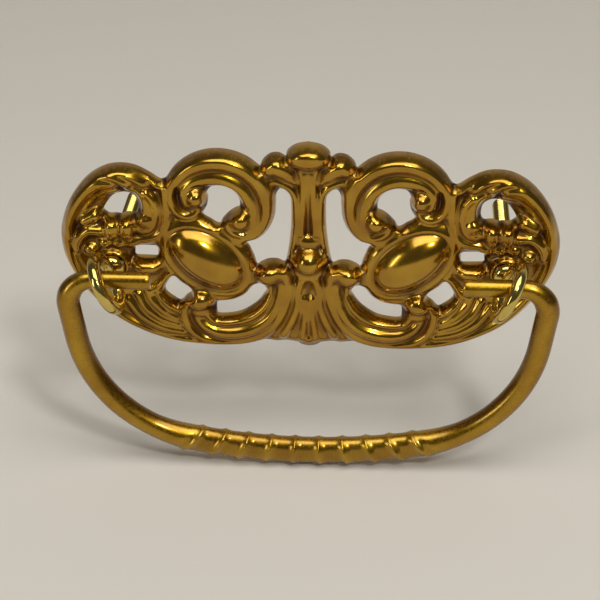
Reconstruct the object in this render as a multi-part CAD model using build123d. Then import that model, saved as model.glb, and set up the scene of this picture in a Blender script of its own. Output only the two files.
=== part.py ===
from build123d import *
import os
from math import cos, degrees, radians, sin

os.makedirs("parts", exist_ok=True)

# A bail drawer pull of stamped brass. The back plane of the plate is y = 0, the front faces -y,
# z is up, and the origin lies midway between the two eye bolts. Sizes are in millimetres, and
# the plate is described in its own plane: x to the right, y up and z as height over the back.

# Eye bolts
bolt_spacing = 76.2
shank_d = 3.4
shank_end = 30.0
eye_outer_d = 12.6
eye_wire = 3.0
eye_edge = 0.9
eye_turn = 16.0
collar_d = 5.2
collar_h = 0.8
shoulder_d = 3.8
shoulder_over = 0.4
eye_sink = 0.6
shank_chamfer = 0.5
hole_clearance = 0.15

# Sheet and ground of the plate
sheet = 0.9
ground = 1.8
recess = 0.9
groove_min = 0.3
seat = 3.2
seat_r = 4.1

# Outline of the plate: the middle is placed from the centre line, the ends from the bolts
tip_y = -17.3
foot = (2.4, -16.3)
foot_end = (9.5, -15.9)
belly = (17.5, -17.8)
belly_end = (25.5, -17.3)
end_lower = ((-5.3, -15.2), (0.9, -11.3))
end_corner = ((5.7, -5.8), (8.6, 0.6))
end_side = ((9.7, 6.5), (8.3, 12.0))
end_top = ((4.1, 17.5), (-2.5, 20.3))
end_notch = ((-6.8, 19.3), (-10.6, 17.2))
crown_y = 20.4
overhang = 0.5

# Upper C scroll of each half
scroll_x, scroll_y = 17.2, 13.2
scroll_r = 11.0
scroll_level = 1.6
scroll_radii = (1.1, 1.6, 1.85, 1.5, 1.15, 0.9)
cove_r = 6.3
cove_cut = 2.2
cove_lift = 1.5
cove_ground = 2.5
scroll_start, scroll_step = 5.0, 45.0
eye_hole = (16.9, 13.4, 4.3)
volute = (21.5, 13.8, 2.4)
wrap_r, wrap_offset = 3.2, 1.0
wrap_start, wrap_turn = 75.0, 190.0
wrap_radii = (0.9, 0.9, 0.6)
inner_bead = (13.4, 9.8, 2.5)

# Cabochon with its stepped rim
cabochon_x, cabochon_y = 19.8, 1.7
cabochon_turn = 38.0
rim = (10.8, 7.2, 2.2)
step = (9.2, 5.7, 3.0)
dome = (7.6, 4.2)
dome_level = 1.4

# Column, crown and palmette on the centre line
column_half = 3.45
column_h = 2.2
column_top = 16.4
crown = (24.0, 4.2, 2.0)
neck = (21.6, 3.4, 1.7)
column_bead = (1.9, 2.5)
collar_ring = (-1.5, 2.3, 1.1)
side_bead = (6.4, 21.2, 2.3)
small_bead = (4.0, 19.8, 1.3)
column_flutes = ((1.0, 11.5, 7.6, 0.85), (2.55, 10.6, 8.2, 0.95))
palmette = ((0.0, -10.2, 6.8, 1.15, 90.0), (2.15, -10.0, 5.9, 1.0, 98.0), (4.2, -11.2, 4.5, 0.95, 110.0))

# Lower scroll: two rolls round the crescent opening, with its volute and bead
crescent = (14.2, -4.6, 6.6)
roll_inner_r, roll_outer_r = 7.0, 8.5
roll_inner = (0.6, 0.8, 0.7)
roll_outer = (1.0, 1.3, 1.1)
roll_start, roll_turn = 176.0, 112.0
lower_volute = (6.9, -0.8, 3.6, 1.9)
lower_bead = (21.8, -8.0, 2.0)
triangle = (25.9, -6.0, 2.9)

# Ends, measured from each bolt: outer roll, curl, petals and leaf
end_path = ((-9.2, 16.7), (-2.4, 18.9), (5.5, 14.3), (8.3, 6.4), (7.2, -0.8), (3.1, -7.3))
end_radii = (1.1, 1.95, 2.1, 2.0, 1.7, 1.1)
end_level = 1.8
end_hole = (-2.1, 12.2, 3.8, 3.3)
side_gap = (-6.55, 2.9, 4.5, 2.8)
curl = (-6.9, 11.0, 2.6)
curl_start, curl_turn = 70.0, 250.0
curl_radii = (0.9, 0.9, 0.6)
curl_bead = (-6.7, 10.2, 1.5)
petal_ring = 6.8
petal = (3.2, 1.4)
petal_level = 2.1
petal_angles = (28.0, 61.0, 92.0, 124.0)
gap_bead = (-6.5, 0.1, 2.3, 1.2)
leaves = ((-10.4, -8.5, 2.6, 0.85, 40.0), (-8.8, -10.6, 4.8, 1.0, 44.0), (-6.0, -10.6, 5.0, 1.0, 46.0),
          (-3.6, -11.0, 4.4, 1.0, 36.0))

# Bail
pin_d = 3.5
pin_inside = 8.4
pin_rise = 0.8
pin_taper = 1.8
bend_start = 3.55
bend_r = 4.0
leg_d = 4.5
leg_lean = 9.0
bail_drop = 37.0
grip_arc_r = 120.0
grip_arc = 11.0
grip_d = 5.1
band_d = 5.8
band_w = 0.9
band_count = 10
band_pitch = 5.03
band_chamfer = 0.1
band_lean = 14.0

bolt_x = bolt_spacing / 2
pin_tip = bolt_x - pin_inside
eye_centre = seat + collar_h + eye_outer_d / 2 - eye_sink


# A raised oval: a round dome on straight walls, drawn out to its length and turned.
def oval(x, y, long_r, short_r, turn, level, base=0.0):
    wall = Cylinder(short_r, level - base, align=(Align.CENTER, Align.CENTER, Align.MAX))
    round_form = Sphere(short_r, arc_size1=0, align=(Align.CENTER, Align.CENTER, Align.MIN)) + wall
    return Pos(x, y, level) * Rot(0, 0, turn) * scale(round_form, by=(long_r / short_r, 1, 1))


# A roll: a round-topped wall on a path in the plane of the plate, with its own radius at equal
# steps. With a wall it is the hollow behind that roll, which opens through the back.
def roll(path, radii, level, wall=0.0):
    base = -wall
    sections = []
    for place in range(len(radii)):
        along = place / (len(radii) - 1)
        heading = path % along
        half_width = max(radii[place] - wall, groove_min)
        arch = ThreePointArc((-half_width, level), (0, level + half_width), (half_width, level))
        sides = Polyline((half_width, level), (half_width, base), (-half_width, base), (-half_width, level))
        frame = Plane(path @ along, x_dir=Vector(0, 0, 1).cross(heading), z_dir=heading)
        sections.append(frame * make_face([arch, sides]))
    return sweep(sections, path, multisection=True)


def disc(x, y, r, h):
    return Pos(x, y) * Cylinder(r, h, align=(Align.CENTER, Align.CENTER, Align.MIN))


def bead(x, y, r, level):
    cap = Sphere(r, arc_size1=0, align=(Align.CENTER, Align.CENTER, Align.MIN))
    return Pos(x, y, level) * cap + disc(x, y, r, level)


def from_bolt(point):
    return (bolt_x + point[0], point[1])


# Ground of the plate: the outline of the right half, its mirror image, and the openings. With an
# inset the outline shrinks and the openings grow by it, which is the recess behind the sheet.
edges = [Line((0, tip_y), foot), Line(foot, foot_end), ThreePointArc(foot_end, belly, belly_end)]
corner = belly_end
for through, stop in (end_lower, end_corner, end_side, end_top, end_notch):
    edges.append(ThreePointArc(corner, from_bolt(through), from_bolt(stop)))
    corner = from_bolt(stop)
crown_x = scroll_x - ((scroll_r - overhang) ** 2 - (crown_y - scroll_y) ** 2) ** 0.5
edges.append(ThreePointArc(corner, (scroll_x, scroll_y + scroll_r - overhang), (crown_x, crown_y)))
edges.append(Polyline((crown_x, crown_y), (0, crown_y), (0, tip_y)))
half_outline = make_face(edges)
outline = half_outline + mirror(half_outline, Plane.YZ)
on_cabochon = Pos(cabochon_x, cabochon_y) * Rot(0, 0, cabochon_turn)


def openings(inset):
    rim_oval = on_cabochon * Ellipse(rim[0] - inset, rim[1] - inset)
    inside = inset + overhang
    volute_oval = Pos(*lower_volute[:2]) * Ellipse(lower_volute[2] - inside, lower_volute[3] - inside)
    tall = Pos(column_half - inset, lower_volute[1]) * Rectangle(
        scroll_x - column_half, column_top + inset - lower_volute[1], align=(Align.MIN, Align.MIN))
    tall = tall - Pos(scroll_x, scroll_y) * Circle(scroll_r - inside) - rim_oval - volute_oval
    return [
        tall,
        Pos(*eye_hole[:2]) * Circle(eye_hole[2] + inset) - rim_oval,
        Pos(*triangle[:2]) * Circle(triangle[2] + inset) - rim_oval,
        Pos(*crescent[:2]) * Circle(crescent[2] + inset) - rim_oval - volute_oval,
        Pos(*from_bolt(side_gap[:2])) * Rectangle(side_gap[2] + 2 * inset, side_gap[3] + 2 * inset),
        Pos(*from_bolt(end_hole[:2])) * Ellipse(end_hole[2] + inset, end_hole[3] + inset),
    ]


def ground_face(inset):
    face = outline if inset == 0 else offset(outline, -inset)
    for hole in openings(inset):
        face = face - hole - mirror(hole, Plane.YZ)
    return face


# Upper C scroll: a coved ring, the tapering roll round it, and its two beads
cove = disc(scroll_x, scroll_y, scroll_r - 2 * overhang, cove_ground)
cove = cove - disc(eye_hole[0], eye_hole[1], eye_hole[2], cove_ground)
cove = cove - Pos(scroll_x, scroll_y, cove_ground + cove_lift) * Torus(cove_r, cove_cut)
roll_points = []
for place, r in enumerate(scroll_radii):
    angle = radians(scroll_start + scroll_step * place)
    reach = scroll_r - r
    roll_points.append((scroll_x + reach * cos(angle), scroll_y + reach * sin(angle)))
scroll_path = Spline(*roll_points)
wrap_path = CenterArc((volute[0] + wrap_offset, volute[1]), wrap_r, wrap_start, -wrap_turn)
forms = [cove, roll(scroll_path, scroll_radii, scroll_level), roll(wrap_path, wrap_radii, scroll_level)]
forms.append(bead(*volute, scroll_level))
forms.append(bead(*inner_bead, scroll_level))

# Cabochon on its two steps
forms.append(on_cabochon * extrude(Ellipse(rim[0], rim[1]), rim[2]))
forms.append(on_cabochon * extrude(Ellipse(step[0], step[1]), step[2]))
forms.append(oval(cabochon_x, cabochon_y, dome[0], dome[1], cabochon_turn, dome_level))

# Lower scroll
inner_path = CenterArc(crescent[:2], roll_inner_r, roll_start, roll_turn)
outer_path = CenterArc(crescent[:2], roll_outer_r, roll_start, roll_turn)
forms.append(roll(inner_path, roll_inner, scroll_level))
forms.append(roll(outer_path, roll_outer, scroll_level))
forms.append(oval(*lower_volute, 0, scroll_level))
forms.append(bead(*lower_bead, scroll_level))

# End: outer roll, curl, seat of the bolt, petals over it and the leaf below
end_spline = Spline(*[from_bolt(point) for point in end_path])
forms.append(roll(end_spline, end_radii, end_level))
curl_path = CenterArc(from_bolt(curl[:2]), curl[2], curl_start, curl_turn)
forms.append(roll(curl_path, curl_radii, scroll_level))
forms.append(bead(*from_bolt(curl_bead[:2]), curl_bead[2], scroll_level))
forms.append(disc(bolt_x, 0, seat_r, seat))
forms.append(oval(*from_bolt(gap_bead[:2]), gap_bead[2], gap_bead[3], 0, ground))
for angle in petal_angles:
    x = bolt_x + petal_ring * cos(radians(angle))
    y = petal_ring * sin(radians(angle))
    forms.append(oval(x, y, petal[0], petal[1], angle, petal_level))
for x, y, long_r, short_r, turn in leaves:
    forms.append(oval(*from_bolt((x, y)), long_r, short_r, turn, ground))

# Crown beads, and the flutes of the column and the palmette
forms.append(bead(*side_bead, scroll_level))
forms.append(bead(*small_bead, column_h))
for x, y, long_r, short_r in column_flutes:
    forms.append(oval(x, y, long_r, short_r, 90, ground))
for x, y, long_r, short_r, turn in palmette[1:]:
    forms.append(oval(x, y, long_r, short_r, turn, ground))
forms = forms + [mirror(form, Plane.YZ) for form in forms]

# Forms on the centre line
forms.append(oval(0, crown[0], crown[1], crown[2], 0, scroll_level))
forms.append(oval(0, neck[0], neck[1], neck[2], 0, ground))
forms.append(bead(0, *column_bead, column_h))
forms.append(oval(0, collar_ring[0], collar_ring[1], collar_ring[2], 0, ground))
forms.append(oval(*palmette[0], ground))
plate = extrude(ground_face(0), ground).fuse(*forms)

# The stamped sheet is hollow behind: a recess inside its rim, and the backs of the rolls and domes
hollows = [roll(scroll_path, scroll_radii, scroll_level, sheet)]
hollows.append(roll(end_spline, end_radii, end_level, sheet))
inner_dome = (dome[0] - sheet, dome[1] - sheet)
hollows.append(oval(cabochon_x, cabochon_y, *inner_dome, cabochon_turn, dome_level, -sheet))
hollows.append(Pos(0, 0, -sheet) * disc(bolt_x, 0, seat_r - sheet, seat))
hollows.append(disc(bolt_x, 0, shoulder_d / 2 + hole_clearance, seat + sheet))
for hollow in hollows:
    plate = plate - hollow - mirror(hollow, Plane.YZ)
pocket = Pos(0, 0, recess - ground) * extrude(ground_face(sheet), ground)
plate = plate - pocket
plate = Plane.XZ.location * plate
export_step(plate, "parts/backplate.step")


# Eye bolt: a ring of rounded square section, a collar that seats on the plate, a plain shoulder through
# the sheet, and the shank that takes the nut
def eye_bolt(side):
    ring_r = (eye_outer_d - eye_wire) / 2
    section = Plane.XY * Pos(0, ring_r) * RectangleRounded(eye_wire, eye_wire, eye_edge)
    ring = Rot(0, side * eye_turn, 0) * revolve(section, Axis.X)
    seat_y = eye_centre - seat
    shoulder_y = seat_y + sheet + shoulder_over
    outline = Polyline((0, ring_r), (collar_d / 2, seat_y - collar_h), (collar_d / 2, seat_y),
                       (shoulder_d / 2, seat_y), (shoulder_d / 2, shoulder_y), (shank_d / 2, shoulder_y),
                       (shank_d / 2, eye_centre + shank_end), (0, eye_centre + shank_end), close=True)
    stem = revolve(make_face(outline), Axis.Y)
    stem = chamfer(stem.edges().sort_by(Axis.Y)[-1], shank_chamfer)
    return Pos(side * bolt_x, -eye_centre, 0) * (ring + stem)


for name, side in (("left_eye_bolt", -1), ("right_eye_bolt", 1)):
    bolt = eye_bolt(side)
    export_step(bolt, f"parts/{name}.step")

# Bail: pin, bend, leg and shoulder of the right side are drawn from the pin's tip to the grip. The
# shoulder's radius and the leg's length follow from the drop and from the reach of the grip.
lean = radians(90 - leg_lean)
rise = radians(grip_arc)
grip_x = grip_arc_r * sin(rise)
grip_lift = grip_arc_r * (1 - cos(rise))
bend_x = bolt_x + bend_start
run = bend_x - grip_x + bend_r * sin(lean)
climb = bail_drop - grip_lift - bend_r * (1 + cos(lean))
spread, lift = sin(lean) - sin(rise), cos(rise) - cos(lean)
leg = (climb * spread - run * lift) / (spread * sin(lean) - lift * cos(lean))
shoulder_r = (run - leg * cos(lean)) / spread

sheet_of_bail = Plane((0, -eye_centre, pin_rise), x_dir=(1, 0, 0), z_dir=(0, -1, 0))
bend = JernArc((bend_x, 0), (1, 0), bend_r, -(90 + leg_lean))
leg_line = Line(bend @ 1, bend @ 1 + (bend % 1) * leg)
shoulder = JernArc(leg_line @ 1, leg_line % 1, shoulder_r, -(90 - leg_lean - grip_arc))
grip = JernArc(shoulder @ 1, shoulder % 1, grip_arc_r, -2 * grip_arc)


def round_bar(path, d):
    return sweep(Plane(path @ 0, z_dir=path % 0) * Circle(d / 2), path)


taper_x = bend_x - pin_taper
pin_outline = Polyline((pin_tip, 0), (pin_tip, pin_d / 2), (taper_x, pin_d / 2),
                       (bend_x, leg_d / 2), (bend_x, 0), close=True)
pin = revolve(make_face(pin_outline), Axis.X)
right_side = pin.fuse(round_bar(bend, leg_d), round_bar(leg_line, leg_d), round_bar(shoulder, leg_d))
bail = round_bar(grip, grip_d).fuse(right_side, mirror(right_side, Plane.YZ))
bands = []
for place in range(band_count):
    along = (place - (band_count - 1) / 2) * band_pitch / grip_arc_r
    turn = along * (1 + band_lean / grip_arc)
    ring = Cylinder(band_d / 2, band_w)
    ring = chamfer(ring.edges().filter_by(GeomType.CIRCLE), band_chamfer)
    spot = Pos(grip_arc_r * sin(along), grip_arc_r * (1 - cos(along)) - bail_drop)
    bands.append(spot * Rot(0, 0, degrees(turn)) * Rot(0, 90, 0) * ring)
bail = bail.fuse(*bands)
bail = sheet_of_bail.location * bail
export_step(bail, "parts/bail.step")
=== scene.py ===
import math

import bpy
import numpy as np
from mathutils import Matrix, Vector


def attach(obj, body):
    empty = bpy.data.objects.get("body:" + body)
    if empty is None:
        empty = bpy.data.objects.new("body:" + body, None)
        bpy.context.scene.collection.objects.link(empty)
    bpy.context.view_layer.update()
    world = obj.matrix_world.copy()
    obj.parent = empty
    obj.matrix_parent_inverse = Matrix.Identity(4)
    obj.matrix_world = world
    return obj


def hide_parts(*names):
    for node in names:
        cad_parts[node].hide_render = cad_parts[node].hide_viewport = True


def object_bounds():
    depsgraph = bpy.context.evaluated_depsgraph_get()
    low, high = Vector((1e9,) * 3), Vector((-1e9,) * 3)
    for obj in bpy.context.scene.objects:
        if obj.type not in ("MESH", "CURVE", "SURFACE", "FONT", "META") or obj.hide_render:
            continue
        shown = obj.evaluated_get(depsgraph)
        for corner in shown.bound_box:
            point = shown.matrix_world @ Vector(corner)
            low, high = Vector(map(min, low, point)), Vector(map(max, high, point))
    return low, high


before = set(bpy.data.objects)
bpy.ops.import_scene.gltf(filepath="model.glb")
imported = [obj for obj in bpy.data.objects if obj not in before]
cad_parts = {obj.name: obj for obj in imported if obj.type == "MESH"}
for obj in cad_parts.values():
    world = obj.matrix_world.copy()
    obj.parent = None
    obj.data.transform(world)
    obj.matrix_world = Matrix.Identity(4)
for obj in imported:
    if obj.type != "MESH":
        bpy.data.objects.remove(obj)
cad_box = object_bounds()

# Backplate: a thin brass sheet, stamped between dies into scrolls, beads and leaves and pierced
# between them. Its rim lies on the drawer front and its back is hollow. The right half is drawn in
# millimetres, x to the right, z up and height over the drawer front, and the left half mirrors it.
MM = 0.001

# Thickness of the sheet, its lip and the width of its turn to the drawer front, then the ground of the
# relief, the bolt's hole and seat, and the spacing of the mesh.
sheet = 0.9
lip = 0.3
turn_down = 1.4
edge_height = 0.7
ground_rise = 0.8
ground_reach = 0.8
bolt_x = 38.1
bolt_hole_r = 1.95
seat_height = 3.2
seat_r = 2.9
seat_slope = 2.2
cell = 0.27
lip_rings = 4


# A smooth run through a few points.
def curve_through(points, closed=False, steps=8):
    spots = np.array(points, float)
    if closed:
        spots = np.concatenate([spots[-1:], spots, spots[:2]])
    else:
        spots = np.concatenate([2 * spots[:1] - spots[1:2], spots, 2 * spots[-1:] - spots[-2:-1]])
    share = np.linspace(0, 1, steps, endpoint=False)[:, None]
    run = []
    for a, b, c, d in zip(spots, spots[1:], spots[2:], spots[3:]):
        bend = (2 * a - 5 * b + 4 * c - d) * share**2 + (3 * b - a - 3 * c + d) * share**3
        run.append(b + 0.5 * ((c - a) * share + bend))
    return np.concatenate(run + [spots[-2:-1]])


# An arc of a circle or an ellipse, by its middle, radii and angles in degrees.
def arc(middle, radii, start, stop, turn=0.0, points=9):
    angle = np.radians(np.linspace(start, stop, points))
    across, up = radii[0] * np.cos(angle), radii[1] * np.sin(angle)
    c, s = math.cos(math.radians(turn)), math.sin(math.radians(turn))
    return np.stack([middle[0] + c * across - s * up, middle[1] + s * across + c * up], 1)


# Outline of the sheet, from the crown round the scroll and the end to the tip of the palmette.
scroll = (17.2, 13.2)
outline_runs = [
    [(0, 26.0), (2.3, 25.5), (3.9, 24.3), (4.3, 23.0)],
    [(4.3, 23.0), (5.6, 23.7), (7.2, 23.5), (8.6, 22.3), (9.2, 20.9)],
    arc(scroll, (11.1, 11.1), 136, 27),
    [(27.2, 18.1), (28.3, 17.9), (30.4, 19.3), (33.0, 20.6), (35.6, 21.0), (38.6, 20.5), (41.8, 18.6),
     (44.5, 15.6), (46.6, 11.9), (47.9, 7.4), (47.9, 3.2), (46.7, -0.9), (43.9, -5.8), (39.2, -11.1),
     (33.6, -14.6), (27.0, -17.0), (20.0, -17.8), (13.4, -17.6), (8.6, -16.5)],
    [(8.6, -16.5), (6.4, -16.8), (4.6, -16.6), (2.3, -16.9)],
    [(2.3, -16.9), (1.4, -17.5), (0, -17.8)],
]
half_outline = np.concatenate([curve_through(run) for run in outline_runs])
outline = np.concatenate([half_outline, half_outline[::-1] * (-1, 1)])

# Openings between the forms, each a closed run, and the hole for the bolt.
openings = [
    curve_through([(3.35, 13.4), (3.4, 9.0), (3.7, 5.6), (4.1, 3.0), (4.6, 0.9), (6.0, 1.35), (7.7, 1.35),
                   (9.2, 0.7), (10.0, 0.2), (10.5, 1.8), (11.3, 3.8), (11.9, 5.1), (9.6, 6.0), (7.7, 7.9),
                   (6.5, 10.6), (6.2, 13.4), (6.1, 15.3), (5.4, 16.3), (4.4, 16.1), (3.6, 15.1)],
                  closed=True),
    curve_through([(13.2, 12.6), (13.3, 14.2), (14.0, 15.6), (15.2, 16.5), (16.9, 16.9), (18.6, 16.4),
                   (19.4, 15.4), (19.2, 14.2), (19.5, 12.5), (20.3, 10.8), (18.8, 9.7), (17.2, 8.8),
                   (16.5, 9.9), (15.2, 11.3), (14.1, 12.1)], closed=True),
    curve_through([(22.9, -5.7), (25.2, -3.8), (26.6, -2.7), (28.0, -4.6), (28.0, -6.1), (26.3, -7.6),
                   (25.2, -8.1), (24.1, -7.0)], closed=True),
    curve_through([(8.3, -5.0), (9.3, -4.1), (10.8, -4.3), (12.4, -6.2), (14.7, -7.5), (17.6, -8.1),
                   (18.1, -8.6), (18.1, -10.4), (17.6, -10.9), (15.6, -10.8), (13.0, -10.1), (10.4, -8.3),
                   (8.9, -6.4)], closed=True),
    np.array([(29.3, 1.8), (29.3, 3.4), (29.6, 3.7), (33.4, 3.8), (33.7, 3.5), (33.8, 1.9), (33.5, 1.6),
              (29.6, 1.5)]),
    curve_through([(32.8, 11.6), (32.8, 12.8), (33.2, 14.0), (34.5, 14.9), (36.2, 14.9), (37.6, 14.2),
                   (38.7, 12.8), (39.4, 11.4), (38.4, 10.5), (36.9, 10.5), (36.2, 10.4), (34.8, 10.8),
                   (33.4, 10.7)], closed=True),
    arc((bolt_x, 0), (bolt_hole_r, bolt_hole_r), 0, 360, points=33),
]


# Distance of each spot from a closed loop, over zero inside it, and the way from its nearest place.
def border(loop, spots):
    gap = np.full(len(spots), np.inf)
    way = np.zeros_like(spots)
    inside = np.zeros(len(spots), bool)
    for a, b in zip(loop, np.roll(loop, -1, 0)):
        step = b - a
        if not step.any():
            continue
        share = np.clip((spots - a) @ step / (step @ step), 0, 1)
        off = spots - a - share[:, None] * step
        far = np.hypot(off[:, 0], off[:, 1])
        near = far < gap
        gap[near] = far[near]
        way[near] = off[near]
        level = (a[1] > spots[:, 1]) != (b[1] > spots[:, 1])
        cross = a[0] + (spots[:, 1] - a[1]) / (step[1] or 1) * step[0]
        inside ^= level & (spots[:, 0] < cross)
    sign = np.where(inside, 1.0, -1.0)
    return sign * gap, way / np.maximum(gap, 1e-6)[:, None] * sign[:, None]


# Spots on an even grid, those within about half a cell of the lip of the sheet moved on to it.
near_lip = 0.55 * cell
grid_x = np.arange(0, half_outline[:, 0].max() + cell, cell)
grid_z = np.arange(half_outline[:, 1].min() - cell, half_outline[:, 1].max() + cell, cell)
spots = np.stack(np.meshgrid(grid_x, grid_z, indexing="ij"), -1).reshape(-1, 2)
edge, inward = border(outline, spots)
for loop in openings:
    gap, way = border(loop, spots)
    nearer = -gap < edge
    edge[nearer] = -gap[nearer]
    inward[nearer] = -way[nearer]
at_lip = np.abs(edge - lip) < near_lip
on_middle = spots[:, 0] == 0
spots[at_lip] += (inward * (lip - edge)[:, None])[at_lip]
spots[on_middle, 0] = 0
edge[at_lip] = lip
kept = edge >= lip

# Faces of the relief: squares of the grid, and triangles where one corner of a square is cut off.
number = np.arange(len(spots)).reshape(len(grid_x), len(grid_z))
corners = np.stack([number[:-1, :-1], number[1:, :-1], number[1:, 1:], number[:-1, 1:]], -1)
corners = corners.reshape(-1, 4)
whole = kept[corners]
faces = [tuple(face) for face in corners[whole.all(1)]]
for face, there in zip(corners[whole.sum(1) == 3], whole[whole.sum(1) == 3]):
    faces.append(tuple(face[there]))
used = np.unique(np.concatenate([np.array(face) for face in faces]))
place = np.full(len(spots), -1)
place[used] = np.arange(len(used))
faces = [tuple(place[list(face)]) for face in faces]
spots, edge, inward, on_middle = spots[used], edge[used], inward[used], on_middle[used]


# Distance of each spot from a run, and the share of the run's length at the nearest place.
def reach(run):
    gap = np.full(len(spots), np.inf)
    share = np.zeros(len(spots))
    length = np.hypot(*np.diff(run, axis=0).T)
    begun = np.concatenate([[0], np.cumsum(length)])
    for a, b, span, before in zip(run, run[1:], length, begun):
        if span == 0:
            continue
        along = np.clip((spots - a) @ (b - a) / span**2, 0, 1)
        off = spots - a - along[:, None] * (b - a)
        far = np.hypot(off[:, 0], off[:, 1])
        near = far < gap
        gap[near] = far[near]
        share[near] = (before + along[near] * span) / begun[-1]
    return gap, share


# Two heights joined with a rounded valley.
def merge(height, other, soft):
    blend = np.clip(0.5 + 0.5 * (other - height) / soft, 0, 1)
    return height + (other - height) * blend + soft * blend * (1 - blend)


# Values spaced evenly along a run, read at shares of its length.
def even(values, share):
    values = np.atleast_1d(values)
    return np.interp(share, np.linspace(0, 1, len(values)), values)


# Drop of a round back from its crest, by the share of its half width: a circle, and then a steep side.
def drop(share, side_from=0.9, side_slope=2.06):
    near = np.minimum(share, side_from)
    return 1 - np.sqrt(1 - near**2) + side_slope * (share - near)


# Raises a round-backed ridge on a run of points, with half widths and crest heights along it. A low
# value of tall makes its back flatter, and soft is the width of the valley beside it.
def ridge(points, half, crest, tall=1.0, soft=0.3):
    gap, share = reach(curve_through(points))
    half = even(half, share)
    relief[:] = merge(relief, even(crest, share) - tall * half * drop(gap / half), soft)


# Raises a domed oval, by its middle, half sizes, turn and crest.
def dome(x, z, long, short, turn, crest, tall=1.0, soft=0.3):
    c, s = math.cos(math.radians(turn)), math.sin(math.radians(turn))
    off_x, off_z = spots[:, 0] - x, spots[:, 1] - z
    share = np.hypot((c * off_x + s * off_z) / long, (c * off_z - s * off_x) / short)
    relief[:] = merge(relief, crest - tall * short * drop(share), soft)


# Cuts a rounded groove into what is there.
def groove(points, half, depth):
    gap, share = reach(curve_through(points))
    swell = np.clip(1 - (gap / even(half, share)) ** 2, 0, None)
    relief[:] = relief - even(depth, share) * swell**1.5


# Ground of the relief, which rises from the edges, and on it the forms, each over those before it.
relief = edge_height + ground_rise * (1 - np.exp(-edge / ground_reach))

# Upper C scroll: a fat roll that tapers round a volute with its bead, a second roll inside it that
# hooks into that bead, and a larger bead in a cup at its lower end.
roll_run = np.concatenate([
    [(20.9, 11.5), (22.2, 10.9), (23.7, 10.8), (25.3, 11.8), (26.2, 13.7), (26.2, 15.8)],
    arc(scroll, (9.4, 9.4), 30, 225, points=15), [(12.0, 6.0), (14.0, 6.0), (15.8, 6.9)]])
inner_run = [(23.4, 13.8), (23.8, 15.2), (23.3, 16.7), (21.6, 18.2), (19.0, 18.9), (16.7, 18.8),
             (14.4, 17.9), (12.3, 16.1), (10.9, 13.6), (10.4, 11.1), (10.6, 8.9), (11.7, 7.2)]
dome(22.8, 13.8, 3.4, 3.4, 0, 2.7, tall=0.5)
ridge(inner_run, (0.7, 0.85, 1.1, 1.6, 1.95, 2.0, 1.95, 1.8, 1.5, 1.2, 1.0, 0.6),
      (3.0, 3.1, 3.1, 3.1, 3.1, 3.1, 3.1, 3.0, 3.0, 2.9, 2.8, 2.6))
ridge(roll_run, (0.5, 0.8, 0.9, 1.4, 1.75, 1.95, 1.95, 1.85, 1.7, 1.5, 1.35, 0.8, 0.4),
      (2.3, 2.7, 2.8, 3.3, 3.7, 4.0, 4.0, 3.9, 3.7, 3.5, 3.1, 2.6, 2.2))
groove([(25.0, 16.6), (25.0, 14.9), (24.4, 13.0), (22.9, 12.3), (21.3, 12.7)],
       (0.6, 0.8, 0.9, 0.9, 0.6), (0.7, 1.2, 1.4, 1.2, 0.4))
ridge([(23.4, 13.8), (22.7, 13.5), (21.9, 14.0)], (0.7, 0.8, 1.0), (3.0, 3.1, 3.3))
dome(21.4, 14.9, 1.8, 1.75, 0, 4.2, soft=0.2)
ridge([(15.4, 10.4), (15.4, 8.8), (14.3, 7.6), (12.6, 7.0)], (0.7, 0.8, 0.8, 0.6), 2.9, soft=0.15)
dome(13.0, 10.5, 2.05, 2.0, 0, 4.5, soft=0.15)
dome(17.6, 8.6, 1.7, 1.0, -35, 3.0)

# Cabochon on two low ribs that step up to it.
jewel_turn = 37
ridge(arc((19.5, 1.5), (10.0, 6.9), 0, 360, jewel_turn, 33), 0.95, 2.2, tall=0.8)
ridge(arc((19.7, 1.7), (9.1, 5.8), 0, 360, jewel_turn, 33), 0.75, 2.6, tall=0.8, soft=0.1)
dome(19.8, 1.9, 8.6, 5.2, jewel_turn, 5.6, tall=0.85, soft=0.1)

# Column: rounded sides that spread as arches to the scrolls, two ridges round a drop-shaped groove,
# and a bead at its foot.
ridge([(7.6, 18.6), (5.6, 18.1), (3.9, 17.1), (2.95, 15.2), (2.7, 12.9), (2.75, 9.0), (3.1, 5.5)],
      (0.8, 0.95, 1.0, 0.95, 0.9), (2.3, 2.5, 2.6, 2.6, 2.5))
ridge([(1.6, 21.0), (1.05, 19.0), (0.95, 16.5), (1.05, 13.0), (1.3, 10.0), (1.4, 7.6)],
      (0.6, 0.7, 0.75, 0.85, 0.9, 0.9), (2.5, 2.7, 2.8, 2.9, 2.9, 2.7))
dome(0, 5.7, 2.7, 2.0, 0, 2.8)
ridge([(3.2, 5.2), (3.5, 3.6), (3.3, 2.0)], (0.7, 1.05, 0.7), (2.5, 3.0, 2.5))
ridge([(0, 20.0), (0, 14.0), (0, 7.5)], 0.8, (2.4, 2.3, 2.2), tall=0.4)
groove([(0, 18.5), (0, 12.6), (0, 7.8)], (0.4, 0.6, 0.9), (0.1, 0.3, 0.8))
dome(0, 1.9, 2.6, 2.5, 0, 5.2, soft=0.2)
ridge([(2.7, 1.2), (2.0, -0.9), (0, -1.8)], (0.6, 0.75, 0.8), (2.3, 2.5, 2.6), soft=0.15)

# Crown: dome over a flared collar, and at each side a comma-shaped roll.
ridge([(0, 21.9), (1.8, 22.0), (3.2, 22.5)], (1.0, 0.9, 0.6), (2.6, 2.6, 2.4))
ridge([(7.2, 21.3), (6.1, 21.6), (4.9, 20.9), (3.7, 19.7), (2.6, 18.4)], (1.8, 2.1, 1.6, 1.2, 0.6),
      (3.5, 3.9, 3.7, 3.3, 2.6))
dome(0, 23.7, 4.3, 2.7, 0, 4.6)

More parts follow.
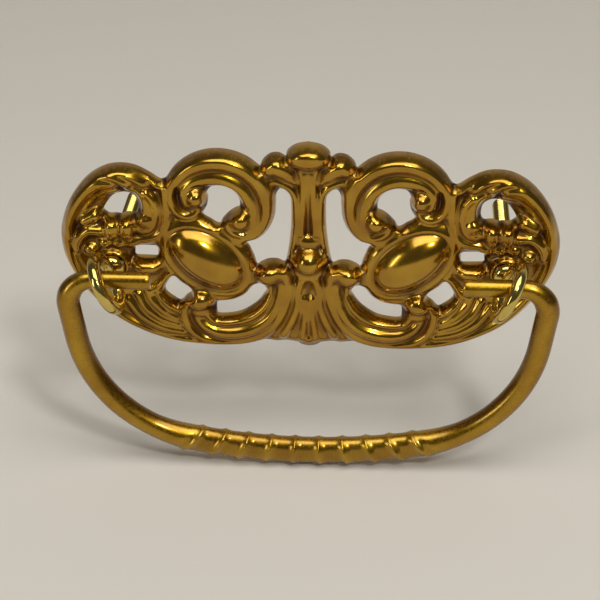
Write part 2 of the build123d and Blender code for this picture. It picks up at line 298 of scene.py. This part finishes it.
# Palmette: three ridges at each side that spread to the scalloped foot, with hollows between them.
ridge([(0.7, -6.5), (0.7, -10.4), (1.3, -15.4)], (0.8, 0.65, 0.75), (2.6, 2.6, 2.2))
ridge([(1.4, -2.4), (2.0, -4.9), (2.2, -8.2), (3.4, -11.8), (5.0, -14.6)], (0.75, 0.8, 0.8, 0.8),
      (2.7, 2.8, 2.7, 2.4))
ridge([(3.7, -3.4), (3.95, -6.1), (4.95, -9.4), (6.9, -12.8), (9.7, -15.1), (12.8, -16.3),
       (16.0, -16.7), (20.0, -16.8), (25.0, -16.2)], (0.8, 0.9, 0.9, 0.9, 0.9),
      (2.6, 2.6, 2.5, 2.3, 2.2))
ridge([(0, -3.0), (0, -15.5)], 0.9, (2.3, 2.1, 1.9), tall=0.4)
groove([(0, -3.4), (0, -5.2), (0, -7.0)], (0.9, 0.6, 0.3), (0.9, 0.8, 0.2))
groove([(0, -10.4), (0, -15.0)], (0.3, 0.5), (0.2, 0.7))

# Lower scroll: a comma-shaped volute that runs on as the outer roll, and an inner roll by the opening.
ridge([(9.7, -2.6), (8.2, -3.3), (6.8, -3.2), (5.8, -3.0)], 0.8, 2.0)
ridge([(7.5, -4.2), (8.0, -6.8), (9.3, -9.0), (11.4, -10.7), (13.8, -11.5), (16.4, -11.8),
       (18.6, -11.4), (19.8, -10.3), (20.2, -9.2)], (0.6, 0.8, 0.95, 1.0, 1.0, 0.95, 0.9, 0.8, 0.6),
      (2.4, 2.7, 2.9, 2.9, 2.9, 2.9, 2.9, 2.9, 2.8))
ridge([(5.3, -3.4), (5.5, -5.8), (6.3, -8.4), (7.9, -11.1), (10.3, -13.0), (13.0, -14.0), (15.8, -14.3),
       (18.4, -13.9), (20.5, -12.7), (21.8, -11.0)],
      (0.7, 0.95, 1.15, 1.3, 1.4, 1.45, 1.4, 1.3, 1.15, 0.8),
      (2.6, 2.9, 3.1, 3.2, 3.3, 3.3, 3.3, 3.3, 3.2, 2.9))
ridge([(7.0, -0.4), (5.6, -0.5), (4.6, -1.6), (4.2, -3.2), (4.4, -4.8)], (1.9, 1.7, 1.3, 0.9, 0.55),
      (4.2, 3.9, 3.4, 2.9, 2.4), soft=0.2)
dome(7.7, -0.9, 2.6, 2.4, 0, 4.6, soft=0.2)

# Strap that curls round the lower bead and the ends of the rolls, and runs out along the edge.
ridge([(22.9, -6.6), (24.2, -8.2), (24.5, -10.3), (24.1, -12.4), (22.9, -14.3), (20.8, -15.8),
       (18.0, -16.4)], (0.6, 0.85, 0.95, 0.95, 0.9, 0.8, 0.6), (2.9, 3.0, 2.9, 2.8, 2.7, 2.5, 2.3))
dome(21.2, -9.7, 1.7, 1.0, 0, 3.3, soft=0.15)
dome(21.3, -7.1, 2.5, 2.1, -8, 4.4, soft=0.15)

# Leaf under the bolt: flutes that fan out of its root, inside a lip along the edge.
leaf_flutes = [
    [(25.8, -9.8), (27.4, -8.3), (29.2, -6.2)],
    [(25.8, -11.6), (28.4, -9.9), (30.6, -7.5), (31.6, -5.2)],
    [(25.3, -13.1), (28.9, -11.6), (31.9, -9.2), (33.4, -6.4)],
    [(24.6, -14.6), (28.9, -13.4), (32.8, -11.0), (35.4, -7.6)],
]
for points in leaf_flutes:
    ridge(points, (0.6, 0.95, 1.0, 0.8), (2.3, 2.8, 2.8, 2.4), soft=0.2)
ridge([(24.5, -16.4), (30.5, -14.9), (36.0, -12.1), (40.0, -8.4), (43.4, -4.2), (45.6, -0.2),
       (46.5, 4.0), (46.5, 8.0)], (0.9, 1.1, 1.2, 1.3, 1.4, 1.4), (2.2, 2.3, 2.4, 2.4, 2.4))
ridge([(27.2, -1.8), (28.8, -4.3), (31.0, -5.6)], (0.8, 1.0, 0.7), 2.5)

# End of the plate: a tapering roll with twisted flutes over its start, and the cove inside it.
ridge([(29.0, 17.3), (31.1, 18.1), (34.1, 18.8), (37.3, 18.8), (40.4, 17.6), (43.0, 15.2), (44.8, 12.5),
       (45.9, 9.9), (46.2, 8.0), (46.0, 6.2)], (1.0, 1.6, 2.1, 2.2, 2.0, 1.75, 1.5, 1.3, 1.1, 0.8),
      (2.8, 3.4, 4.0, 4.1, 4.0, 3.7, 3.4, 3.2, 3.1, 2.7))
for points in ([(29.6, 16.2), (30.3, 17.6), (31.8, 19.1), (34.0, 20.1)],
               [(32.4, 16.2), (33.2, 17.7), (34.9, 19.0), (37.2, 19.8)],
               [(35.7, 16.3), (36.5, 17.8), (38.5, 18.6), (40.8, 18.4)]):
    groove(points, (0.8, 0.75, 0.65, 0.4), (1.2, 0.9, 0.6, 0.2))
ridge([(36.8, 16.0), (39.4, 15.7), (41.4, 14.3), (42.8, 12.2), (43.6, 10.4)], (0.6, 0.8, 0.8, 0.6),
      (2.4, 2.6, 2.6, 2.4))

# Curl with its bead, and the bar that frames it.
ridge([(27.4, 16.4), (27.2, 12.2), (27.8, 8.1), (29.7, 6.1), (33.4, 5.4)], (0.8, 1.0, 1.0, 1.0, 0.9),
      2.5)
ridge([(31.0, 15.6), (29.8, 14.0), (29.3, 11.6), (29.7, 9.3), (30.8, 7.9), (32.2, 7.7), (33.0, 8.5)],
      (0.7, 0.85, 0.85, 0.8, 0.8, 0.7, 0.5), 2.9)
dome(31.4, 9.8, 1.7, 1.6, 0, 3.5)
ridge([(30.9, 11.4), (31.1, 13.6), (32.4, 15.9), (34.6, 16.7)], (1.0, 0.8, 0.7, 0.5),
      (2.9, 2.6, 2.5, 2.4))

# Petals over the seat of the bolt, and the bead under the small square opening.
dome(35.0, 8.3, 2.3, 1.5, 90, 4.1, soft=0.15)
dome(37.9, 8.1, 2.2, 1.4, 90, 4.0, soft=0.15)
ridge([(40.9, 10.7), (43.0, 9.7)], (1.2, 1.0), 3.4)
ridge([(40.2, 7.4), (42.2, 7.5), (43.8, 6.3), (44.6, 4.8), (44.8, 3.2)], (1.1, 0.95, 0.9, 0.8, 0.5),
      (3.2, 3.2, 3.1, 2.9, 2.5))
for x, z in ((34.0, 4.9), (36.5, 4.9), (39.3, 4.9), (42.2, 3.4)):
    dome(x, z, 1.4, 1.2, 0, 2.8)
dome(31.4, -0.1, 2.8, 1.6, 0, 3.5)

# Flat seat of the bolt, on a short slope.
past_seat = np.hypot(spots[:, 0] - bolt_x, spots[:, 1]) - seat_r
on_slope = past_seat < 1
relief[on_slope] = np.maximum(relief, seat_height - seat_slope * np.clip(past_seat, 0, None))[on_slope]
relief[past_seat < 0] = seat_height


# Mean of the values on the spots round each spot, more widely with more rounds.
def about(values, rounds):
    grids = np.zeros((2, number.size))
    grids[:, used] = values, np.ones(len(values))
    grids = grids.reshape(2, *number.shape)
    grids = np.concatenate([grids[:, :0:-1], grids], 1)
    for _ in range(rounds):
        for axis in (1, 2):
            grids = (np.roll(grids, 1, axis) + grids + np.roll(grids, -1, axis)) / 3
    total, count = grids[:, len(grid_x) - 1:].reshape(2, -1)
    return total[used] / count[used]


# The dies' soft corners, and how deep each spot lies under the forms about it, which sets the painted
# shade in the recesses: none up to the first depth, full from the second on, and one even value on the
# back.
wide_rounds = 24
shade_from_depth, shade_full_depth = 0.1, 0.8
relief = about(relief, 1)
depth = about(relief, wide_rounds) - relief
painted_recess_shade = np.clip((depth - shade_from_depth) / (shade_full_depth - shade_from_depth), 0, 1)
back_shade = 0.4

# The sheet turns down to the drawer front all along its edges.
turned = 1 - np.clip(edge / turn_down, 0, 1)
relief = relief * np.sqrt(1 - turned**2)

# Sheet behind the relief, closed to the front by the rounded lip.
inner = np.clip((edge - lip) / sheet, 0, 1)
hollow = np.clip(relief - sheet, 0, None) * inner * inner * (3 - 2 * inner)
open_edges = set()
for face in faces:
    open_edges.update(zip(face, face[1:] + face[:1]))
open_edges = [(a, b) for a, b in open_edges
              if (b, a) not in open_edges and not (on_middle[a] and on_middle[b])]
rim = np.unique(np.array(open_edges))
on_rim = {point: order for order, point in enumerate(rim)}
points = [np.column_stack([spots[:, 0], -relief, spots[:, 1]])]
for ring in range(1, lip_rings + 1):
    share = 1 - ring / lip_rings
    out = spots[rim] - inward[rim] * (edge[rim] * (1 - share**3))[:, None]
    out[on_middle[rim], 0] = 0
    points.append(np.column_stack([out[:, 0], -relief[rim] * share, out[:, 1]]))
points.append(np.column_stack([spots[:, 0], -hollow, spots[:, 1]]))
starts = np.cumsum([0] + [len(group) for group in points])
rings = [list(rim)] + [list(starts[k] + np.arange(len(rim))) for k in range(1, lip_rings + 1)]
rings.append(list(starts[-2] + rim))
half_faces = list(faces)
for inside, outside in zip(rings, rings[1:]):
    for a, b in open_edges:
        a, b = on_rim[a], on_rim[b]
        half_faces.append((inside[b], inside[a], outside[a], outside[b]))
half_faces += [tuple(starts[-2] + n for n in face[::-1]) for face in faces]
points = np.concatenate(points)
# The lip takes the painted shade of its rim, and the back one even value of it.
painted_recess_shade = np.concatenate([painted_recess_shade] + [painted_recess_shade[rim]] * lip_rings + [np.full(len(spots), back_shade)])

# Both halves as one mesh, joined on the middle line.
middle = points[:, 0] == 0
twin = np.where(middle, np.arange(len(points)), len(points) + np.cumsum(~middle) - 1)
all_points = np.concatenate([points, points[~middle] * (-1, 1, 1)]) * MM
all_faces = half_faces + [tuple(twin[n] for n in face[::-1]) for face in half_faces]


# A mesh object with smooth shading, sharp only at strong corners.
def solid(name, points, faces, corner=60.0):
    mesh = bpy.data.meshes.new(name)
    mesh.from_pydata([tuple(p) for p in points], [], [tuple(int(n) for n in face) for face in faces])
    mesh.validate()
    mesh.polygons.foreach_set("use_smooth", [True] * len(mesh.polygons))
    mesh.set_sharp_from_angle(angle=math.radians(corner))
    piece = bpy.data.objects.new(name, mesh)
    bpy.context.scene.collection.objects.link(piece)
    return piece


plate = solid("stamped_backplate", all_points, all_faces, corner=75.0)
# Painted shade in the recesses, kept on the mesh for the material.
shade_layer = plate.data.attributes.new("painted_recess_shade", "FLOAT", "POINT")
shade_layer.data.foreach_set("value", np.concatenate([painted_recess_shade, painted_recess_shade[~middle]]))


# A colour written as sRGB hex, turned to linear.
def colour(text):
    parts = [int(text[k:k + 2], 16) / 255 for k in (1, 3, 5)]
    return [c / 12.92 if c <= 0.04045 else ((c + 0.055) / 1.055) ** 2.4 for c in parts] + [1.0]


# Adds a node with its settings and links. Inputs go by name, or by number where a node's names repeat.
def add(tree, kind, inputs, **settings):
    made = tree.nodes.new(kind)
    for name, value in settings.items():
        setattr(made, name, value)
    for socket, value in inputs.items():
        if isinstance(value, bpy.types.NodeSocket):
            tree.links.new(value, made.inputs[socket])
        else:
            made.inputs[socket].default_value = value
    return made


# Noise that stays on the piece, by the size of its patches.
def noise(tree, patch_mm, detail=2.0):
    where = add(tree, "ShaderNodeTexCoord", {})
    return add(tree, "ShaderNodeTexNoise", {
        "Vector": where.outputs["Object"], "Scale": 1 / (patch_mm * MM), "Detail": detail})


# Two colours that share the patches of a noise, and between the two positions run into each other.
def two_tone(tree, patches, positions, colours):
    tint = add(tree, "ShaderNodeValToRGB", {"Fac": patches.outputs["Fac"]})
    for stop, position, text in zip(tint.color_ramp.elements, positions, colours):
        stop.position = position
        stop.color = colour(text)
    return tint


# Stamped brass under a gold-tinted lacquer: an olive gold mirror under a clear glossy coat, whose
# highlights are paler than the metal. The recesses are painted darker and duller as painted shade, and the
# tint and gloss change a little in patches, over a fine ripple.
lacquered = bpy.data.materials.new("lacquered_stamped_brass")
lacquered.use_nodes = True
tree = lacquered.node_tree
tree.nodes.clear()
patch_mm, ripple_mm, gloss_mm = 7.0, 0.9, 2.5
# Dark brown painted shade for the recesses, and their duller gloss there.
painted_shade_colour = colour("#55300A")
recess_roughness = 0.45
recess_shade_node = add(tree, "ShaderNodeAttribute", {}, attribute_name="painted_recess_shade")
tint = two_tone(tree, noise(tree, patch_mm, 3.0), (0.35, 0.65), ("#A0740F", "#B68D1E"))
tone = add(tree, "ShaderNodeMix", {
    0: recess_shade_node.outputs["Fac"], 6: tint.outputs["Color"], 7: painted_shade_colour}, data_type="RGBA")
sheen = noise(tree, gloss_mm)
gloss = add(tree, "ShaderNodeMapRange", {
    "Value": sheen.outputs["Fac"], "From Min": 0.3, "From Max": 0.7, "To Min": 0.17, "To Max": 0.25})
dull = add(tree, "ShaderNodeMix", {
    0: recess_shade_node.outputs["Fac"], 2: gloss.outputs["Result"], 3: recess_roughness}, data_type="FLOAT")
ripple = noise(tree, ripple_mm)
bump = add(tree, "ShaderNodeBump", {
    "Height": ripple.outputs["Fac"], "Strength": 0.06, "Distance": 0.1 * MM})
shader = add(tree, "ShaderNodeBsdfPrincipled", {
    "Base Color": tone.outputs[2], "Metallic": 1.0, "Roughness": dull.outputs[0],
    "Normal": bump.outputs["Normal"], "Coat Weight": 0.7, "Coat Roughness": 0.06})
add(tree, "ShaderNodeOutputMaterial", {"Surface": shader.outputs["BSDF"]})
plate.data.materials.append(lacquered)
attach(plate, "plate")
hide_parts("backplate")

# Eye bolts: rings of nearly round section with a collar that seats on the plate, a plain neck through
# it, and a threaded shank for the nut behind the drawer front. They are cast and turned brass.
eye_mid_r = 4.95
eye_half_wide = 1.33
eye_half_thick = 1.15
eye_round = 0.85
eye_turn = 25.0
eye_y = -9.7
shank_end = 30.0
thread_pitch = 0.8
thread_depth = 0.32
seat_y = -seat_height
collar_r = 2.6
neck_r = 1.9
shank_r = 1.7


# Faces of a bar between rows of points that run round it: closed to a ring, or with a cap at each end.
def skin(rows, around, closed=False):
    faces = []
    for row in range(rows if closed else rows - 1):
        here, there = row * around, (row + 1) % rows * around
        for k in range(around):
            step = (k + 1) % around
            faces.append((here + k, here + step, there + step, there + k))
    if not closed:
        faces += [tuple(range(around))[::-1], tuple(range((rows - 1) * around, rows * around))]
    return faces


# Ring of a bolt, turned about the upright line through the bolt.
def eye_ring(turn):
    around, rows = 40, 96
    corner = np.linspace(0, 2 * np.pi, around, endpoint=False)
    across, out = np.cos(corner), np.sin(corner)
    in_x = eye_half_thick * np.sign(across) * np.abs(across) ** eye_round
    in_r = eye_half_wide * np.sign(out) * np.abs(out) ** eye_round + eye_mid_r
    swing = np.linspace(0, 2 * np.pi, rows, endpoint=False)[:, None]
    in_x = np.broadcast_to(in_x, (rows, around))
    ring = np.stack([in_x, in_r * np.cos(swing), in_r * np.sin(swing)], -1)
    c, s = math.cos(turn), math.sin(turn)
    ring = ring.reshape(-1, 3) @ np.array([[c, 0, s], [0, 1, 0], [-s, 0, c]]).T
    return ring + (0, eye_y, 0), skin(rows, around, closed=True)


# Stem of a bolt, by the radius and place of each row: collar and neck, thread, and chamfered end.
def eye_stem():
    around = 48
    angle = np.linspace(0, 2 * np.pi, around, endpoint=False)
    head = [(0.2, eye_y + eye_mid_r), (2.0, seat_y - 1.4), (2.45, seat_y - 1.0), (collar_r, seat_y - 0.75),
            (collar_r, seat_y), (neck_r, seat_y), (neck_r, seat_y + 1.25), (shank_r, seat_y + 1.3)]
    rows = [(np.full(around, r), y) for r, y in head]
    thread_y = np.arange(seat_y + 1.4, shank_end - 0.5, thread_pitch / 8)
    for y in thread_y:
        phase = (y / thread_pitch - angle / (2 * np.pi)) % 1
        run_in = min(1, (y - thread_y[0]) / thread_pitch)
        rows.append((shank_r - thread_depth * run_in * np.abs(2 * phase - 1), y))
    end = [(1.35, shank_end - 0.3), (1.1, shank_end), (0.05, shank_end)]
    rows += [(np.full(around, r), y) for r, y in end]
    stem = [np.column_stack([r * np.cos(angle), np.full(around, y), -r * np.sin(angle)]) for r, y in rows]
    return np.concatenate(stem), skin(len(rows), around)


# Polished bare brass: paler and greener than the lacquered plate, a mirror with a faint haze on it.
polished = bpy.data.materials.new("polished_bare_brass")
polished.use_nodes = True
tree = polished.node_tree
tree.nodes.clear()
haze_mm = 3.0
haze = noise(tree, haze_mm)
tint = two_tone(tree, haze, (0.3, 0.7), ("#C9B05A", "#DCC777"))
gloss = add(tree, "ShaderNodeMapRange", {
    "Value": haze.outputs["Fac"], "From Min": 0.3, "From Max": 0.7, "To Min": 0.1, "To Max": 0.18})
shader = add(tree, "ShaderNodeBsdfPrincipled", {
    "Base Color": tint.outputs["Color"], "Metallic": 1.0, "Roughness": gloss.outputs["Result"]})
add(tree, "ShaderNodeOutputMaterial", {"Surface": shader.outputs["BSDF"]})

for name, side in (("left_eye_bolt", -1), ("right_eye_bolt", 1)):
    ring_points, ring_faces = eye_ring(math.radians(side * eye_turn))
    stem_points, stem_faces = eye_stem()
    bolt_points = np.concatenate([ring_points, stem_points]) + (side * bolt_x, 0, 0)
    bolt_faces = ring_faces + [tuple(n + len(ring_points) for n in face) for face in stem_faces]
    bolt = solid("threaded_" + name, bolt_points * MM, bolt_faces)
    bolt.data.materials.append(polished)
    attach(bolt, "plate")
    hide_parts(name)

# Bail: one drawn brass bar, bent to a hoop with its ends turned in as pins, the grip rolled into
# leaning bands. It hangs loose in the ring eyes and wears the same lacquer as the plate.
pin_rise = 0.8
pin_inside = 8.4
pin_r = 1.75
bend_start = 2.75
bend_r = 4.9
leg_r = 2.25
leg_lean = 9.0
bail_drop = 37.0
grip_arc_r = 120.0
grip_arc = 11.0
grip_r = 2.68
dish = 0.6
band_r = 2.88
band_pitch = 5.03
band_count = 10
band_lean = 33.6
band_from = 0.4
band_swell = 1.6

# Length of the leg and radius of the shoulder that join the bend to the arc of the grip.
lean = math.radians(90 - leg_lean)
rise = math.radians(grip_arc)
grip_x, grip_lift = grip_arc_r * math.sin(rise), grip_arc_r * (1 - math.cos(rise))
bend_x = bolt_x + bend_start
run = bend_x - grip_x + bend_r * math.sin(lean)
climb = bail_drop - grip_lift - bend_r * (1 + math.cos(lean))
spread, lift = math.sin(lean) - math.sin(rise), math.cos(rise) - math.cos(lean)
leg = (climb * spread - run * lift) / (spread * math.sin(lean) - lift * math.cos(lean))
shoulder_r = (run - leg * math.cos(lean)) / spread


# Middle line of the right side from the pin's tip to the middle of the grip. Each stretch has a length,
# or the radius of an arc, then the turn in degrees and the number of steps.
def hoop_line():
    spot, heading = np.array([bolt_x - pin_inside, 0.0]), 0.0
    line = [spot]
    stretches = [(bend_start + pin_inside, 0, 24), (bend_r, 90 + leg_lean, 22), (leg, 0, 14),
                 (shoulder_r, 90 - leg_lean - grip_arc, 60), (grip_arc_r, grip_arc, 190)]
    for size, turn, steps in stretches:
        angle = math.radians(turn)
        length = (size * angle if turn else size) / steps
        for _ in range(steps):
            heading -= angle / steps / 2
            spot = spot + length * np.array([math.cos(heading), math.sin(heading)])
            heading -= angle / steps / 2
            line.append(spot)
    return np.array(line)


right = hoop_line()
right[:, 0] -= right[-1, 0]
line = np.concatenate([right, right[-2::-1] * (-1, 1)])
ahead = np.gradient(line, axis=0)
ahead /= np.hypot(*ahead.T)[:, None]
reached = np.concatenate([[0], np.cumsum(np.hypot(*np.diff(line, axis=0).T))])
from_middle = reached - reached[-1] / 2
half_long = reached[-1] / 2
grip_long = grip_arc_r * rise
around = 44
angle = np.linspace(0, 2 * np.pi, around, endpoint=False)
to_tip = half_long - np.abs(from_middle)

# Radius along the bar: a chamfered pin that thickens round the bend, and a leg that flares to the grip.
chamfer = 0.25
thick_from, thick_to = pin_inside + 3.0, pin_inside + bend_start + 5.5
flare_to = half_long - grip_long
flare_from = flare_to - 8
grip_step = 0.05
bar_r = np.interp(to_tip, [0, chamfer, thick_from, thick_to, flare_from, flare_to],
                  [pin_r - chamfer, pin_r, pin_r, leg_r, leg_r, grip_r - grip_step])

# Bands lean more towards the ends of the grip, and fade out after the last one.
tilt = np.tan(np.radians(np.clip(from_middle / grip_long, -1, 1) * band_lean))
banded = band_count / 2 * band_pitch
band_fade = 2.0

# Use rubs the lacquer thin on the pins and on the raised bands. Along the front of the legs a lighter tone
# is a painted highlight, and the darker tone between the bands is painted shade.
rub_fade = 9.0
sheen_narrow = 2.5
shade_between_bands = 0.6
past_grip = np.abs(from_middle) - grip_long
past_pin = to_tip - pin_inside - bend_start
all_round = np.clip(1 - np.minimum(past_grip, past_pin) / rub_fade, 0, 1)
painted_front_sheen = np.clip(-np.cos(angle), 0, 1) ** sheen_narrow

# Sections along the bar, with the bands on the grip, and on each the wear and painted highlight that
# lighten it.
hoop, wear_and_painted_sheen = [], []
for spot, way, far, r, slant, rub in zip(line, ahead, from_middle, bar_r, tilt, all_round):
    side = np.array([-way[1], way[0]])
    along = far - slant * r * np.sin(angle)
    near_band = 1 - 2 * np.abs((along / band_pitch) % 1 - 0.5)
    band = np.clip((near_band - band_from) / (1 - band_from), 0, 1) ** band_swell
    facet = grip_r - dish * np.cos(angle) ** 2
    facet = facet + (band_r - facet) * band
    on_grip = np.clip((banded - np.abs(along)) / band_fade, 0, 1)
    radius = r + (facet - r) * on_grip
    flat = spot[:, None] + side[:, None] * (radius * np.sin(angle))
    hoop.append(np.column_stack([flat[0], eye_y + radius * np.cos(angle), flat[1] + pin_rise]))
    leg_wear_and_sheen = np.maximum(rub, painted_front_sheen)
    wear_and_painted_sheen.append(leg_wear_and_sheen + (shade_between_bands + (1 - shade_between_bands) * band - leg_wear_and_sheen) * on_grip)
bail = solid("banded_bail", np.concatenate(hoop) * MM, skin(len(hoop), around))
sheen_layer = bail.data.attributes.new("wear_and_painted_sheen", "FLOAT", "POINT")
sheen_layer.data.foreach_set("value", np.concatenate(wear_and_painted_sheen))

# Drawn brass under the same lacquer: the bar keeps a fine grain that breaks up its gloss. It is painted
# brown as shade at its sides and between the bands, and lighter where worn and as a painted highlight
# along the front of the legs.
drawn = bpy.data.materials.new("lacquered_drawn_brass")
drawn.use_nodes = True
tree = drawn.node_tree
tree.nodes.clear()
patch_mm, grain_mm = 6.0, 0.6
# Brown of the painted shade at the bar's sides and between its bands.
bail_shade_colour = colour("#76520F")
wear_and_sheen_node = add(tree, "ShaderNodeAttribute", {}, attribute_name="wear_and_painted_sheen")
tint = two_tone(tree, noise(tree, patch_mm, 3.0), (0.35, 0.65), ("#A27812", "#B89124"))
tone = add(tree, "ShaderNodeMix", {
    0: wear_and_sheen_node.outputs["Fac"], 6: bail_shade_colour, 7: tint.outputs["Color"]}, data_type="RGBA")
grain = noise(tree, grain_mm)
gloss = add(tree, "ShaderNodeMapRange", {
    "Value": grain.outputs["Fac"], "From Min": 0.35, "From Max": 0.65, "To Min": 0.26, "To Max": 0.36})
bump = add(tree, "ShaderNodeBump", {
    "Height": grain.outputs["Fac"], "Strength": 0.04, "Distance": 0.05 * MM})
shader = add(tree, "ShaderNodeBsdfPrincipled", {
    "Base Color": tone.outputs[2], "Metallic": 1.0, "Roughness": gloss.outputs["Result"],
    "Normal": bump.outputs["Normal"], "Coat Weight": 0.5, "Coat Roughness": 0.12})
add(tree, "ShaderNodeOutputMaterial", {"Surface": shader.outputs["BSDF"]})
bail.data.materials.append(drawn)
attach(bail, "bail")
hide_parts("bail")

# Studio: a floor just under the hanging bail and a backdrop behind it, both of the same paper, a wide
# soft lamp overhead, a small key lamp from the right, a strip from the left, and an even grey room.
floor_z = cad_box[0][2] - 0.4 * MM
floor_half = 3.0
floor_corners = [(-floor_half, -floor_half, floor_z), (floor_half, -floor_half, floor_z),
                 (floor_half, floor_half, floor_z), (-floor_half, floor_half, floor_z)]
floor = solid("floor", floor_corners, [(0, 1, 2, 3)])

# Matt paper: a warm pale grey without gloss.
paper = bpy.data.materials.new("matt_paper_floor")
paper.use_nodes = True
paper.node_tree.nodes["Principled BSDF"].inputs["Base Color"].default_value = colour("#D6D0C5")
paper.node_tree.nodes["Principled BSDF"].inputs["Roughness"].default_value = 0.9
floor.data.materials.append(paper)
wall_y, wall_top = 0.55, 1.4
wall_corners = [(-floor_half, wall_y, floor_z), (floor_half, wall_y, floor_z),
                (floor_half, wall_y, wall_top), (-floor_half, wall_y, wall_top)]
wall = solid("backdrop", wall_corners, [(0, 1, 2, 3)])
wall.data.materials.append(paper)

room = bpy.data.worlds.new("grey_room")
room.use_nodes = True
room.node_tree.nodes["Background"].inputs["Color"].default_value = colour("#8C8881")
room.node_tree.nodes["Background"].inputs["Strength"].default_value = 0.35
bpy.context.scene.world = room

for name, place, wide, high, power in (("overhead_softbox", (0.05, -0.25, 0.85), 1.0, 0.55, 5.4),
                                       ("key_lamp", (0.3, -0.6, 0.65), 0.13, 0.13, 2.6),
                                       ("left_strip", (-0.7, -0.55, 0.25), 0.1, 0.4, 1.0)):
    lamp = bpy.data.lights.new(name, "AREA")
    lamp.shape = "RECTANGLE"
    lamp.size = wide
    lamp.size_y = high
    lamp.energy = power
    holder = bpy.data.objects.new(name, lamp)
    holder.location = place
    holder.rotation_euler = (Vector((0, 0, 0)) - Vector(place)).to_track_quat("-Z", "Y").to_euler()
    bpy.context.scene.collection.objects.link(holder)

# Camera: 350 mm off, 28 degrees above the pull and 4 to the right, a hand-held close view through a
# long lens, with the picture rolled by a fraction of a degree.
camera_at = Vector((18.0, -308.4, 156.55)) * MM
looks_at = Vector((-1.8, 0.0, -7.76)) * MM
roll = math.radians(-0.41)
lens = bpy.data.cameras.new("camera")
lens.sensor_width = 36.0
lens.lens = 107.0
camera = bpy.data.objects.new("camera", lens)
turn = (looks_at - camera_at).to_track_quat("-Z", "Y").to_matrix()
camera.matrix_world = Matrix.Translation(camera_at) @ (turn @ Matrix.Rotation(roll, 3, "Z")).to_4x4()
bpy.context.scene.collection.objects.link(camera)
bpy.context.scene.camera = camera
bpy.context.scene.view_settings.view_transform = "Standard"
